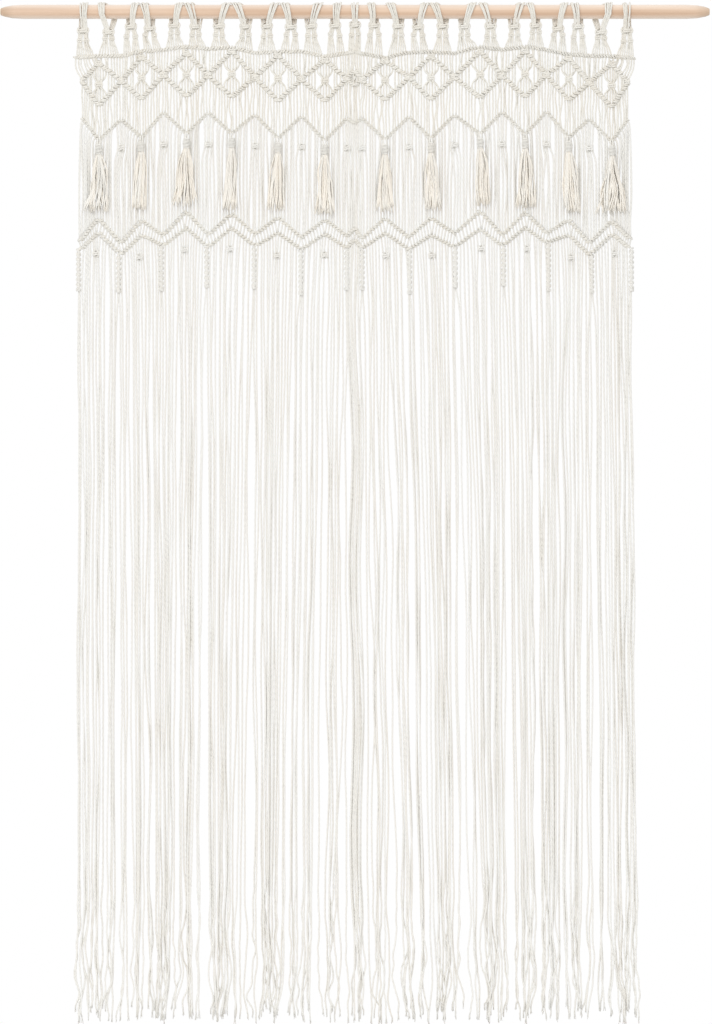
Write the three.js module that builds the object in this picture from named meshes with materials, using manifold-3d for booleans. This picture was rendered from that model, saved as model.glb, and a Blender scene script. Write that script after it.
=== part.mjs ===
// A macrame curtain hung on a wooden rod, in millimetres, +Z up. The front faces -Y.
// The origin is on the rod's axis, at the middle of the rod's length.
import * as THREE from "three";
import { mergeVertices } from "three/addons/utils/BufferGeometryUtils.js";
import Module from "manifold-3d";

const wasm = await Module();
wasm.setup();

// The rod: a round dowel, turned down at both ends to a neck and from there to a small flat tip.
const ROD_LENGTH = 1393;
const ROD_RADIUS = 14;
const ROD_SIDES = 24;
const ROD_TAPER = 46;
const ROD_NECK = 24;
const ROD_NECK_RADIUS = 12.8;
const ROD_TIP_RADIUS = 5.5;

// The cords. A strand of the net stands for two or three cords side by side.
const GAP = 0.4;
const FOOT_GAP = 0.65;
const STRAND_BACK = 1.2;
const STRAND_FRONT = -2.6;
const NET_STRANDS = 2;
const NET_WIDTH = 13;
const LONG_STRANDS = 4;
const LONG_WIDTH = 6;
const GATHERED_WIDTH = 5.4;

// The rows of hitches: bars with a flat back, ridged in front where the cords are tied.
const BAR_HALF = 4.4;
const BAR_BACK = 2.6;
const BAR_RIDGE = -5.2;
const BAR_GROOVE = -3.6;
const BAR_RIDGES = 1;
const HEADER_REACH = 9;

// The double row at the foot: two ridges with a thinner web between.
const RIDGE_FRONT = -3.4;
const RIDGE_HEIGHT = 7;
const WEB_FRONT = -1;
const STRIP_BACK = 2;

// The tabs: a band over the rod, tied below it in a ridged knot.
const TAB_CLEARANCE = 0.5;
const TAB_THICKNESS = 3.2;
const TAB_WIDTH = 11;
const TAB_ARC_STEPS = 6;
const TAB_ARC_STEP = Math.PI / 4.5;
const KNOT_TOP = -23;
const KNOT_END = -55;
const KNOT_SPREAD = 1.9;

// The fringe.
const FRINGE_STRANDS = 6;
const FRINGE_WIDTH = 3.4;
const FRINGE_END = -1958;
const FRINGE_UNEVEN = 16;
const SPIRAL_RADIUS = 5.6;
const SPIRAL_STEPS = 6;
const SPIRAL_TURN = Math.PI / 3;

// The tassels.
const TASSEL_SIDES = 6;
const TASSEL_STRANDS = 8;
const TASSEL_DEPTH = -10.5;
const TASSEL_SPREAD_DEPTH = 5.4;
const TASSEL_CORD_RADIUS = 1.8;
const TASSEL_HEAD_RADIUS = 8;
const TASSEL_NECK_RADIUS = 6.2;
const TASSEL_HEAD_HEIGHT = 26;
const TASSEL_STRAND_WIDTH = 3.6;

// The places between the diamonds, from left to right, as distances below the rod's axis.
// head: header row; over, under: sides of the diamonds; zig: zigzag row; upper, lower: double row;
// spiral: end of the twisted sinnet. The first and last rows are the curtain's edges.
const BETWEEN = [
  { x: -537, head: 89, over: 136, under: 136, zig: 207, upper: 448, lower: 466, spiral: 548 },
  { x: -459, head: 87, over: 136, under: 136, zig: 212, upper: 451, lower: 472, spiral: 551 },
  { x: -376, head: 75, over: 124, under: 124, zig: 197, upper: 440, lower: 459, spiral: 548 },
  { x: -288, head: 73, over: 125, under: 125, zig: 198, upper: 436, lower: 459, spiral: 541 },
  { x: -196, head: 81, over: 129, under: 129, zig: 202, upper: 438, lower: 460, spiral: 544 },
  { x: -105, head: 78, over: 132, under: 132, zig: 205, upper: 444, lower: 466, spiral: 556 },
  { x: -16, head: 81, over: 132, under: 132, zig: 209, upper: 441, lower: 464, spiral: 546 },
  { x: 14, head: 82, over: 134, under: 134, zig: 209, upper: 446, lower: 464, spiral: 546 },
  { x: 106, head: 80, over: 129, under: 129, zig: 206, upper: 444, lower: 466, spiral: 554 },
  { x: 195, head: 82, over: 128, under: 128, zig: 203, upper: 436, lower: 462, spiral: 541 },
  { x: 289, head: 74, over: 126, under: 126, zig: 197, upper: 438, lower: 455, spiral: 538 },
  { x: 376, head: 75, over: 124, under: 124, zig: 196, upper: 435, lower: 453, spiral: 548 },
  { x: 460, head: 86, over: 139, under: 139, zig: 211, upper: 451, lower: 474, spiral: 551 },
  { x: 537, head: 90, over: 138, under: 138, zig: 210, upper: 444, lower: 463, spiral: 548 },
];

// The middles of the diamonds, with the same columns. end, width and drift are its tassel's:
// how far down it hangs, how wide it spreads there and how far it hangs to the side.
const MIDDLES = [
  { x: -503, head: 87, over: 104, under: 185, zig: 252, upper: 406, lower: 438, end: 389, width: 46, drift: 0 },
  { x: -419, head: 78, over: 92, under: 172, zig: 247, upper: 410, lower: 444, end: 383, width: 24, drift: -5 },
  { x: -331, head: 69, over: 84, under: 167, zig: 240, upper: 392, lower: 424, end: 377, width: 37, drift: -5 },
  { x: -242, head: 70, over: 80, under: 168, zig: 239, upper: 397, lower: 424, end: 385, width: 24, drift: -5 },
  { x: -151, head: 79, over: 89, under: 176, zig: 249, upper: 404, lower: 434, end: 385, width: 29, drift: -3 },
  { x: -59, head: 88, over: 98, under: 176, zig: 253, upper: 409, lower: 436, end: 393, width: 28, drift: 0 },
  { x: 59, head: 90, over: 99, under: 174, zig: 252, upper: 406, lower: 434, end: 389, width: 28, drift: 0 },
  { x: 149, head: 79, over: 90, under: 173, zig: 249, upper: 405, lower: 438, end: 385, width: 30, drift: 4 },
  { x: 246, head: 69, over: 81, under: 169, zig: 240, upper: 392, lower: 426, end: 376, width: 25, drift: 5 },
  { x: 334, head: 69, over: 80, under: 168, zig: 241, upper: 394, lower: 424, end: 381, width: 35, drift: 2 },
  { x: 420, head: 84, over: 94, under: 174, zig: 247, upper: 409, lower: 438, end: 389, width: 27, drift: 7 },
  { x: 504, head: 88, over: 105, under: 188, zig: 255, upper: 411, lower: 436, end: 391, width: 50, drift: 3 },
];

// The short turn where the curtain's two halves meet, with the same columns.
const CENTRE = { x: -1, head: 79, over: 115, under: 146, zig: 220, upper: 425, lower: 447 };

// The tabs, from left to right: the place of the knot, and how far the loop leans at the rod's top.
const TABS = [
  { x: -534, lean: 2 },
  { x: -484, lean: -15 },
  { x: -440, lean: 9 },
  { x: -403, lean: -12 },
  { x: -355, lean: 11 },
  { x: -313, lean: -16 },
  { x: -267, lean: 16 },
  { x: -215, lean: -20 },
  { x: -173, lean: 17 },
  { x: -126, lean: -14 },
  { x: -86, lean: 16 },
  { x: -39, lean: 5 },
  { x: 0, lean: 0 },
  { x: 38, lean: -7 },
  { x: 85, lean: -17 },
  { x: 124, lean: 14 },
  { x: 172, lean: -19 },
  { x: 215, lean: 17 },
  { x: 266, lean: -18 },
  { x: 313, lean: 15 },
  { x: 355, lean: -12 },
  { x: 399, lean: 14 },
  { x: 438, lean: -9 },
  { x: 483, lean: 15 },
  { x: 534, lean: -2 },
];

// The cords are shared out between the turns; the rows of hitches turn at the centre too.
const TURNS = [...BETWEEN, ...MIDDLES].sort((a, b) => a.x - b.x);
const ROW_TURNS = [...TURNS, CENTRE].sort((a, b) => a.x - b.x);

const cotton = new THREE.MeshStandardMaterial({ color: 0xeeeadf, roughness: 0.95 });
const warmCotton = new THREE.MeshStandardMaterial({ color: 0xd9c8ac, roughness: 0.95 });
const wood = new THREE.MeshStandardMaterial({ color: 0xe3c09a, roughness: 0.6 });

// A number between -1 and 1 that is always the same for one piece and one use.
function uneven(piece, use) {
  const wave = Math.sin(piece * 12.9898 + use * 78.233) * 43758.5453;
  return 2 * (wave - Math.floor(wave)) - 1;
}

// The height of a row of hitches at one place across the curtain.
function heightAt(row, x) {
  const last = ROW_TURNS.length - 2;
  const next = ROW_TURNS.findIndex((turn) => turn.x > x);
  const place = next < 0 ? last : Math.min(Math.max(next - 1, 0), last);
  const [from, to] = [ROW_TURNS[place], ROW_TURNS[place + 1]];
  const share = (x - from.x) / (to.x - from.x);
  const inside = Math.min(Math.max(share, 0), 1);
  return -THREE.MathUtils.lerp(from[row], to[row], inside);
}

// A closed solid through rings that each have as many points as the first.
function loft(rings) {
  const sides = rings[0].length;
  const last = (rings.length - 1) * sides;
  const index = [];
  for (let ring = 0; ring < last; ring += sides) {
    for (let side = 0; side < sides; side += 1) {
      const a = ring + side;
      const b = ring + ((side + 1) % sides);
      index.push(a, b, b + sides, a, b + sides, a + sides);
    }
  }
  for (let side = 1; side < sides - 1; side += 1) {
    index.push(0, side + 1, side);
    index.push(last, last + side, last + side + 1);
  }
  const geometry = new THREE.BufferGeometry().setFromPoints(rings.flat());
  geometry.setIndex(index);
  return geometry;
}

function solid(geometry) {
  const bare = geometry.clone();
  bare.deleteAttribute("normal");
  bare.deleteAttribute("uv");
  const merged = mergeVertices(bare);
  return new wasm.Manifold(
    new wasm.Mesh({
      numProp: 3,
      vertProperties: merged.attributes.position.array,
      triVerts: new Uint32Array(merged.index.array),
    }),
  );
}

function fuse(geometries) {
  return wasm.Manifold.union(geometries.map(solid));
}

function meshOf(name, made, material) {
  const data = made.getMesh();
  const geometry = new THREE.BufferGeometry();
  geometry.setAttribute("position", new THREE.BufferAttribute(data.vertProperties, 3));
  geometry.setIndex(new THREE.BufferAttribute(data.triVerts, 1));
  geometry.computeVertexNormals();
  const mesh = new THREE.Mesh(geometry, material);
  mesh.name = name;
  return mesh;
}

// A section of a strand: flat at the back, with a ridge at the front.
function section(x, z, width, depth = 0) {
  return [
    new THREE.Vector3(x + width / 2, STRAND_BACK + depth, z),
    new THREE.Vector3(x, STRAND_FRONT + depth, z),
    new THREE.Vector3(x - width / 2, STRAND_BACK + depth, z),
  ];
}

// The same section with its end cut parallel to a row of hitches, a distance above it.
function cutSection(x, row, above, width) {
  const ring = section(x, 0, width);
  for (const point of ring) {
    point.z = heightAt(row, point.x) + above;
  }
  return ring;
}

function rodGeometry() {
  const half = ROD_LENGTH / 2;
  const profile = [
    new THREE.Vector2(0, -half),
    new THREE.Vector2(ROD_TIP_RADIUS, -half),
    new THREE.Vector2(ROD_NECK_RADIUS, ROD_NECK - half),
    new THREE.Vector2(ROD_RADIUS, ROD_TAPER - half),
    new THREE.Vector2(ROD_RADIUS, half - ROD_TAPER),
    new THREE.Vector2(ROD_NECK_RADIUS, half - ROD_NECK),
    new THREE.Vector2(ROD_TIP_RADIUS, half),
    new THREE.Vector2(0, half),
  ];
  const turned = new THREE.LatheGeometry(profile, ROD_SIDES, Math.PI / ROD_SIDES);
  return turned.rotateZ(-Math.PI / 2);
}

// One tab: its outline seen from the side, with the rod's hole, is given its width and its lean.
function tabGeometry(tab) {
  const inner = (ROD_RADIUS + TAB_CLEARANCE) / Math.cos(TAB_ARC_STEP / 2);
  const outer = inner + TAB_THICKNESS;
  const knot = [
    { z: -26, depth: 6.6 },
    { z: -32, depth: 4.2 },
    { z: -40, depth: 6 },
    { z: KNOT_END, depth: 3.4 },
  ];
  const outline = new THREE.Shape();
  const hole = new THREE.Path();
  for (let step = 0; step <= TAB_ARC_STEPS; step += 1) {
    const angle = Math.PI / 2 + (step - TAB_ARC_STEPS / 2) * TAB_ARC_STEP;
    outline[step ? "lineTo" : "moveTo"](outer * Math.cos(angle), outer * Math.sin(angle));
    hole[step ? "lineTo" : "moveTo"](inner * Math.cos(angle), inner * Math.sin(angle));
  }
  for (const row of knot) {
    outline.lineTo(-row.depth, row.z);
  }
  for (const row of knot.toReversed()) {
    outline.lineTo(row.depth, row.z);
  }
  hole.lineTo(0, KNOT_TOP);
  outline.holes.push(hole);
  const band = new THREE.ExtrudeGeometry(outline, { depth: 1, bevelEnabled: false });
  const places = band.attributes.position;
  for (let i = 0; i < places.count; i += 1) {
    const depth = places.getX(i);
    const z = places.getY(i);
    const across = places.getZ(i) - 0.5;
    const atFoot = depth < 0 ? 0.3 : -0.5;
    const climb = THREE.MathUtils.clamp(z / outer, 0, 1);
    const below = THREE.MathUtils.clamp(1 + z / -KNOT_TOP, 0, 1);
    const lean = tab.lean * below * THREE.MathUtils.lerp(atFoot, 1, climb);
    const spread = z < KNOT_TOP ? KNOT_SPREAD : 1;
    places.setXYZ(i, tab.x + lean + across * TAB_WIDTH * spread, depth, z);
  }
  return band;
}

// A row of hitches from one edge to the other.
function barGeometry(row, reach) {
  const steps = 2 * BAR_RIDGES;
  const rings = [];
  for (let place = 0; place <= (ROW_TURNS.length - 1) * steps; place += 1) {
    const from = ROW_TURNS[Math.min(Math.floor(place / steps), ROW_TURNS.length - 2)];
    const to = ROW_TURNS[ROW_TURNS.indexOf(from) + 1];
    const share = place / steps - ROW_TURNS.indexOf(from);
    const z = -THREE.MathUtils.lerp(from[row], to[row], share);
    const side = place === 0 ? -reach : share === 1 ? reach : 0;
    const x = THREE.MathUtils.lerp(from.x, to.x, share) + side;
    rings.push([
      new THREE.Vector3(x, BAR_BACK, z - BAR_HALF),
      new THREE.Vector3(x, BAR_BACK, z + BAR_HALF),
      new THREE.Vector3(x, place % 2 ? BAR_RIDGE : BAR_GROOVE, z),
    ]);
  }
  return loft(rings);
}

// The strands between two neighbouring turns: from their tab to the diamonds, inside the diamonds,
// and from the diamonds to the zigzag row.
function netStrands(span) {
  const [from, to] = [TURNS[span], TURNS[span + 1]];
  const tab = TABS[span];
  const middle = MIDDLES.find((row) => row === from || row === to);
  const made = [];
  for (let strand = 0; strand < NET_STRANDS; strand += 1) {
    const share = (strand + 0.5) / NET_STRANDS;
    const x = THREE.MathUtils.lerp(from.x, to.x, share);
    made.push(
      loft([
        section(tab.x + (share - 0.5) * TAB_WIDTH, KNOT_END + 8, GATHERED_WIDTH),
        cutSection(x, "head", 0, NET_WIDTH),
        cutSection(x, "over", 0, NET_WIDTH),
      ]),
    );
    made.push(
      loft([
        cutSection(x, "under", 0, NET_WIDTH),
        cutSection(x, "zig", 0, NET_WIDTH),
      ]),
    );
    const [over, under] = [heightAt("over", x), heightAt("under", x)];
    if (middle && over - under > 30) {
      const gathered = middle.x + (x - middle.x) * 0.42;
      made.push(
        loft([
          cutSection(x, "over", 0, NET_WIDTH),
          section(gathered, (over + under) / 2, GATHERED_WIDTH),
          cutSection(x, "under", 0, NET_WIDTH),
        ]),
      );
    }
  }
  return made;
}

// The strand inside the small diamond where the two halves meet.
function centreStrand() {
  return loft([
    cutSection(CENTRE.x, "over", 0, GATHERED_WIDTH),
    cutSection(CENTRE.x, "under", 0, GATHERED_WIDTH),
  ]);
}

// The strands that hang from the zigzag row to just above the double row.
function longStrands(span) {
  const [from, to] = [TURNS[span], TURNS[span + 1]];
  const made = [];
  for (let strand = 0; strand < LONG_STRANDS; strand += 1) {
    const share = (strand + 0.5) / LONG_STRANDS;
    const x = THREE.MathUtils.lerp(from.x, to.x, share);
    const foot = RIDGE_HEIGHT / 2 + FOOT_GAP;
    made.push(loft([cutSection(x, "zig", -1, LONG_WIDTH), cutSection(x, "upper", foot, LONG_WIDTH)]));
  }
  return made;
}

// The double row: both ridges with the web between them.
function stripGeometry() {
  const rings = ROW_TURNS.map((turn) => {
    const half = RIDGE_HEIGHT / 2;
    const rows = [
      { y: STRIP_BACK, z: -turn.lower - half },
      { y: STRIP_BACK, z: -turn.upper + half },
      { y: RIDGE_FRONT, z: -turn.upper + half },
      { y: RIDGE_FRONT, z: -turn.upper - half },
      { y: WEB_FRONT, z: -turn.upper - half - 1 },
      { y: WEB_FRONT, z: -turn.lower + half + 1 },
      { y: RIDGE_FRONT, z: -turn.lower + half },
      { y: RIDGE_FRONT, z: -turn.lower - half },
    ];
    return rows.map((row) => new THREE.Vector3(turn.x, row.y, row.z));
  });
  return loft(rings);
}

// Where a hanging strand is at some depth: strands draw together in locks towards the foot.
function hangAt(x, share) {
  const lock = 5.2 * Math.sin(x / 13) + 3 * Math.sin(x / 31 + 1);
  return x * (1 - 0.004 * share) + lock * share;
}

function fringeStrands(span, first) {
  const [from, to] = [TURNS[span], TURNS[span + 1]];
  const made = [];
  for (let strand = 0; strand < FRINGE_STRANDS; strand += 1) {
    const share = (strand + 0.5) / FRINGE_STRANDS;
    const x = THREE.MathUtils.lerp(from.x, to.x, share);
    const spirals = BETWEEN.filter((row) => Math.abs(row.x - x) < SPIRAL_RADIUS);
    if (spirals.length > 0) {
      continue;
    }
    const piece = first + strand;
    const end = FRINGE_END + FRINGE_UNEVEN * uneven(piece, 1);
    const middle = (heightAt("lower", x) + end) / 2;
    made.push(
      loft([
        section(x, heightAt("lower", x), FRINGE_WIDTH),
        section(hangAt(x, 0.4), middle, FRINGE_WIDTH, uneven(piece, 2)),
        section(hangAt(x, 1), end, FRINGE_WIDTH, 2 * uneven(piece, 3)),
      ]),
    );
  }
  return made;
}

// A twisted sinnet that hangs from a low point of the double row and ends in a lock of cords.
function spiralGeometry(row, piece) {
  const inwards = -Math.sign(row.x) * (Math.abs(row.x) > 500 ? SPIRAL_RADIUS : 0);
  const x = row.x + inwards;
  const rings = [];
  for (let step = 0; step <= SPIRAL_STEPS; step += 1) {
    const z = -THREE.MathUtils.lerp(row.lower, row.spiral, step / SPIRAL_STEPS);
    const ring = [];
    for (let side = 0; side < 3; side += 1) {
      const angle = step * SPIRAL_TURN - (side * 2 * Math.PI) / 3;
      const y = SPIRAL_RADIUS * Math.sin(angle) - 0.6;
      ring.push(new THREE.Vector3(x + SPIRAL_RADIUS * Math.cos(angle), y, z));
    }
    rings.push(ring);
  }
  const end = FRINGE_END + FRINGE_UNEVEN * uneven(piece, 1);
  for (const share of [0.4, 1]) {
    const z = THREE.MathUtils.lerp(-row.spiral, end, share);
    rings.push(section(hangAt(x, share), z, FRINGE_WIDTH * 1.5));
  }
  return loft(rings);
}

// One tassel: a tied head on a short cord in front of the zigzag row, and its skirt of strands.
function tasselSolid(row) {
  const top = -row.zig;
  const neck = top - TASSEL_HEAD_HEIGHT - 6;
  const hung = BAR_GROOVE - GAP - TASSEL_CORD_RADIUS * Math.sin(Math.PI / 3);
  const levels = [
    { y: hung, z: top + BAR_HALF, radius: TASSEL_CORD_RADIUS },
    { y: hung, z: top - BAR_HALF, radius: TASSEL_CORD_RADIUS },
    { y: TASSEL_DEPTH, z: top - 13, radius: TASSEL_HEAD_RADIUS },
    { y: TASSEL_DEPTH, z: neck + 8, radius: TASSEL_NECK_RADIUS },
    { y: TASSEL_DEPTH, z: neck, radius: TASSEL_NECK_RADIUS + 0.6 },
  ];
  const head = levels.map((level) => {
    const ring = [];
    for (let side = 0; side < TASSEL_SIDES; side += 1) {
      const angle = (-2 * Math.PI * side) / TASSEL_SIDES;
      const x = row.x + level.radius * Math.cos(angle);
      ring.push(new THREE.Vector3(x, level.y + level.radius * Math.sin(angle), level.z));
    }
    return ring;
  });
  const pieces = [loft(head)];
  for (let strand = 0; strand < TASSEL_STRANDS; strand += 1) {
    const angle = (2 * Math.PI * (strand + 0.5)) / TASSEL_STRANDS;
    const [across, deep] = [Math.cos(angle), Math.sin(angle)];
    const depth = TASSEL_DEPTH - (STRAND_BACK + STRAND_FRONT) / 2;
    const spread = row.width / 2 - TASSEL_STRAND_WIDTH / 2;
    const root = depth + TASSEL_NECK_RADIUS * 0.58 * deep;
    const foot = depth + TASSEL_SPREAD_DEPTH * deep;
    const x = row.x + row.drift + spread * across;
    const end = -row.end + 4 * uneven(strand, row.x);
    pieces.push(
      loft([
        section(row.x + TASSEL_NECK_RADIUS * 0.58 * across, neck + 4, 2, root),
        section(x, end, TASSEL_STRAND_WIDTH, foot),
      ]),
    );
  }
  return fuse(pieces);
}

const spans = TABS.map((tab, span) => span);
const net = fuse([
  ...TABS.map(tabGeometry),
  barGeometry("head", HEADER_REACH),
  barGeometry("over", 0),
  barGeometry("under", 0),
  barGeometry("zig", 0),
  ...spans.flatMap(netStrands),
  centreStrand(),
  ...spans.flatMap(longStrands),
]);
const fringe = fuse([
  stripGeometry(),
  ...spans.flatMap((span) => fringeStrands(span, span * FRINGE_STRANDS)),
  ...BETWEEN.map((row, place) => spiralGeometry(row, 500 + place)),
]);

const group = new THREE.Group();
group.add(meshOf("rod", solid(rodGeometry()), wood));
group.add(meshOf("net", net, cotton));
group.add(meshOf("fringe", fringe, cotton));
MIDDLES.forEach((row, place) => {
  const name = `tassel_${String(place + 1).padStart(2, "0")}`;
  group.add(meshOf(name, tasselSolid(row), warmCotton));
});

export default group;
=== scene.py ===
"""A macrame curtain on a wooden rod. Sizes are in millimetres until a mesh is made of them."""

import math

import bpy
import numpy as np
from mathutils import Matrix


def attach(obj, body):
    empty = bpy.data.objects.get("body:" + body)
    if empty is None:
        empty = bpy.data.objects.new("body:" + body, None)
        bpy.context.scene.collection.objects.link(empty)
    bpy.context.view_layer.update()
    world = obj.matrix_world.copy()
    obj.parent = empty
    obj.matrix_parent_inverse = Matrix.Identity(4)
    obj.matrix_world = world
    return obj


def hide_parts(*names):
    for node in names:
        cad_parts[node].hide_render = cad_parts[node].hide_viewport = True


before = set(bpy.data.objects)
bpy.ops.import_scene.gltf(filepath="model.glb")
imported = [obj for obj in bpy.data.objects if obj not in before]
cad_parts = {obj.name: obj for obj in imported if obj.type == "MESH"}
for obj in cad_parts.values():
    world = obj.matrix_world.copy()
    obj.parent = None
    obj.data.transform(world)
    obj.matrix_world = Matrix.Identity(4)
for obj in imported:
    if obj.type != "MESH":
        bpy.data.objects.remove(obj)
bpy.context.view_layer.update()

MM = 0.001
CHANCE = np.random.default_rng(58)

# The rod, and the steps of its ends from the shoulder outwards: a length and the radius it ends in.
ROD_LENGTH = 1393
ROD_RADIUS = 14
ROD_SIDES = 64
ROD_END = ((22, 12.8), (15, 9.8), (7, 7.4), (2, 5.5))
ROD_TAPER = sum(length for length, radius in ROD_END)
# The colours of its wood, and of the painted highlight along its top and bottom.
DARK_GRAIN = (0.63, 0.425, 0.285, 1)
PALE_GRAIN = (0.83, 0.625, 0.465, 1)
WOOD_PORES = (0.68, 0.46, 0.32, 1)
# The colour of the painted highlight on the rod's top and of the painted reflected light on its bottom.
PAINTED_HIGHLIGHT = (0.95, 0.86, 0.77, 1)
CUT_WOOD = (0.5, 0.37, 0.25, 1)

# The cords: their radius as a rule, drawn tight, and left to hang below the zigzag row; and their
# twist, which starts at a place of its own on each cord.
CORD_RADIUS = 1.9
TAUT_RADIUS = 1.8
HANG_RADIUS = 2.2
CORD_SIDES = 6
CORD_PLIES = 3
CORDS_PER_SPAN = 8
TWIST_PITCH = 12
TWIST_OFFSET = 0.0237

# The rows of hitches: the reach and radius of one turn, its lean, and how far apart a pair stands.
HITCH_REACH = 3.05
HITCH_RADIUS = 1.35
HITCH_LEAN = 2.9
HITCH_PAIR = 0.8
HITCH_POINTS = 10
HITCH_SIDES = 5
HOLDING_RADIUS = 1.5
HOLDING_STEP = 6.0
TURN_ROUNDING = 2
SLOPE_SPAN = 4

# The heavy hitches along the sides of the diamonds, and the one over each corner.
BEAD_REACH = 3.4
BEAD_RADIUS = 2.2
BEAD_LEAN = 2.4
BEAD_PITCH = 9.5
BEAD_PAIR = 0.185
BEAD_CORE = 2.0
BEAD_DEPTH = -0.8
CORNER_DEPTH = -1.4
CORNER_LEAN = 1.2

# The square knots: half their width, their height, their depth and the radius of their cord.
WIDE_KNOT = (10.4, 13, 5.4, 2.0)
PAIR_KNOT = (4.6, 7.5, 4.0, 1.6)
TIP_KNOT = (5.2, 9, 3.4, 1.7)
HEART_KNOT = (6.6, 11, 4.6, 1.9)
SMALL_KNOT = (5.6, 10.5, 4.8, 1.9)
TIP_DEPTH = -1.8
HEART_DEPTH = -0.5
SMALL_DEPTH = -2.4
KNOT_POINTS = 16
KNOT_SIDES = 7
# The loop at a knot's side, as shares of its half width, its depth and its height.
KNOT_LOOP = ((0.3, 0.3, 0.54), (0.82, -0.5, 0.36), (1.03, -0.85, 0), (0.82, -0.5, -0.36), (0.3, 0.3, -0.54))

# The tabs: cords that loop over the rod, and how far they fan out towards the header.
LOOP_CORDS = 4
LOOP_STEP = 2.7
LOOP_CLEARANCE = 0.3
LOOP_RADIUS = ROD_RADIUS + LOOP_CLEARANCE + CORD_RADIUS
LOOP_REACH = math.radians(110)
LOOP_POINTS = 22
LOOP_SWING = 1.15
TAB_TURN = 2.4
FAN_SHARE = 0.84
EDGE_BOW = 14
EDGE_REACH = 60

# Below the zigzag row the cords hang a little wider than they are knotted. Cords run through a
# diamond where it is high enough, in two layers.
WIDER = 1.011
DIAMOND_LEAST = 16
DIAMOND_DEPTH = 1.4

# The fringe: where its cords end, how far up from there they waver, and how they gather in locks.
FRINGE_END = 1962
FRINGE_UNEVEN = 17
HEAD_SHARE = 0.1
WAVY_SHARE = 0.2
PAIR_PULL = 0.7
LOCK_TIGHT = 0.85
LOCK_DEPTH = 2.8
FRAY_LENGTH = 26
FRAY_PLIES = 4
HEAD_POINTS = 14
STRAIGHT_POINTS = 18
WAVY_POINTS = 52
# Over how much of its length a cord comes loose from the double row, eases back below a small knot
# and below a sinnet, or is pushed aside by a sinnet; and how near these have to be to move it.
LOOSE_AFTER = 45
KNOT_EASE = 45
SINNET_EASE = 60
SINNET_PUSH = 20
SINNET_SHARE = 0.7
NEAR = 30
LIFT_WAVE = 90
# The waves of a cord along all its length, as size and length, and those near its foot, as size and
# the shortest and longest length.
LONG_WAVES = ((1.5, 620), (1.0, 330), (0.5, 170))
FOOT_WAVES = ((3.2, 120, 220), (2.3, 60, 110), (0.8, 35, 55))

# The twisted sinnets: a core with two cords wound round it.
SINNET_CORE = 3.0
SINNET_REACH = 3.8
SINNET_RADIUS = 1.8
SINNET_PITCH = 20
SINNET_STEP = 1.6
SINNET_DEPTH = -0.4
SINNET_TIE_REACH = 3.7
SINNET_TIE_RADIUS = 1.7
SINNET_TIES = (0.5, 3.1)
SINNET_GAP = 14

# The tassels: how far in front they hang, and how far below the zigzag row their head and neck are.
TASSEL_DEPTH = -10.5
TASSEL_HEAD = 9
TASSEL_NECK = 31
HEAD_FOLDS = 8
HEAD_TURNS = 9
HEAD_TURN_POINTS = 14
SKIRT_CORE = 8
SKIRT_CORE_SHARE = 0.58
SKIRT_LOCKS = 16
LOCK_STRANDS = 3
STRAND_ANGLE = 0.2

# The camera, the light and the floor, in metres: a long lens straight in front, a white room that is
# a little brighter above, a soft box in front and to the left, and a pale disc below.
LENS = 268.5
SENSOR = 36
CAMERA_PLACE = (0.002, -15, -0.9824)
WHITE = (1, 1, 1, 1)
LIGHT_BELOW = 0.64
LIGHT_ABOVE = 1.03
SOFT_BOX_SIZE = 4.0
SOFT_BOX_POWER = 105
SOFT_BOX_PLACE = (-2.0, -6.0, 1.6)
SOFT_BOX_TURN = (math.radians(67), 0, math.radians(-18))
FLOOR_RADIUS = 1.5
FLOOR_PLACE = (0, -1.3, -2.02)
FLOOR_COLOUR = (0.93, 0.93, 0.925, 1)

# The places between the diamonds, as distances below the rod's axis. head: header row; over, under:
# sides of the diamonds; zig: zigzag row; bead: small knot below it; upper, lower: double row;
# spiral: end of the twisted sinnet.
BETWEEN_COLUMNS = ("x", "head", "over", "under", "zig", "bead", "upper", "lower", "spiral")
BETWEEN_ROWS = (
    (-537, 89, 136, 136, 207, 0, 448, 466, 548),
    (-459, 87, 136, 136, 212, 268, 455, 477, 551),
    (-376, 75, 124, 124, 197, 261, 440, 459, 548),
    (-288, 73, 125, 125, 198, 261, 439, 462, 541),
    (-196, 81, 129, 129, 202, 264, 438, 460, 544),
    (-105, 78, 132, 132, 205, 266, 444, 466, 556),
    (-16, 81, 132, 132, 209, 268, 441, 464, 546),
    (14, 82, 134, 134, 209, 268, 446, 464, 546),
    (106, 80, 129, 129, 206, 266, 444, 466, 554),
    (195, 82, 128, 128, 203, 262, 436, 462, 541),
    (289, 74, 126, 126, 197, 261, 440, 460, 538),
    (376, 75, 124, 124, 196, 261, 435, 453, 548),
    (460, 86, 139, 139, 211, 269, 455, 478, 551),
    (537, 90, 138, 138, 210, 0, 444, 463, 548),
)

# The middles of the diamonds, with the same columns; bead is the small knot below the double row.
# end, width and drift are the tassel's: its foot, its spread there and how far it hangs aside.
MIDDLE_COLUMNS = ("x", "head", "over", "under", "zig", "upper", "lower", "bead", "end", "width", "drift")
MIDDLE_ROWS = (
    (-503, 87, 101, 185, 252, 406, 433, 475, 389, 46, 0),
    (-419, 78, 89, 172, 247, 410, 438, 482, 383, 24, -5),
    (-331, 69, 81, 167, 240, 392, 424, 468, 377, 37, -5),
    (-242, 70, 77, 168, 239, 397, 424, 466, 385, 24, -5),
    (-151, 79, 86, 176, 249, 404, 434, 479, 385, 29, -3),
    (-59, 88, 95, 176, 253, 409, 436, 478, 393, 28, 0),
    (59, 90, 96, 174, 252, 406, 434, 479, 389, 28, 0),
    (149, 79, 87, 173, 249, 405, 438, 479, 385, 30, 4),
    (246, 69, 78, 169, 240, 392, 426, 465, 376, 25, 5),
    (334, 69, 77, 168, 241, 394, 424, 466, 381, 35, 2),
    (420, 84, 91, 174, 247, 409, 438, 483, 389, 27, 7),
    (504, 88, 102, 188, 255, 411, 436, 475, 391, 50, 3),
)

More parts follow.
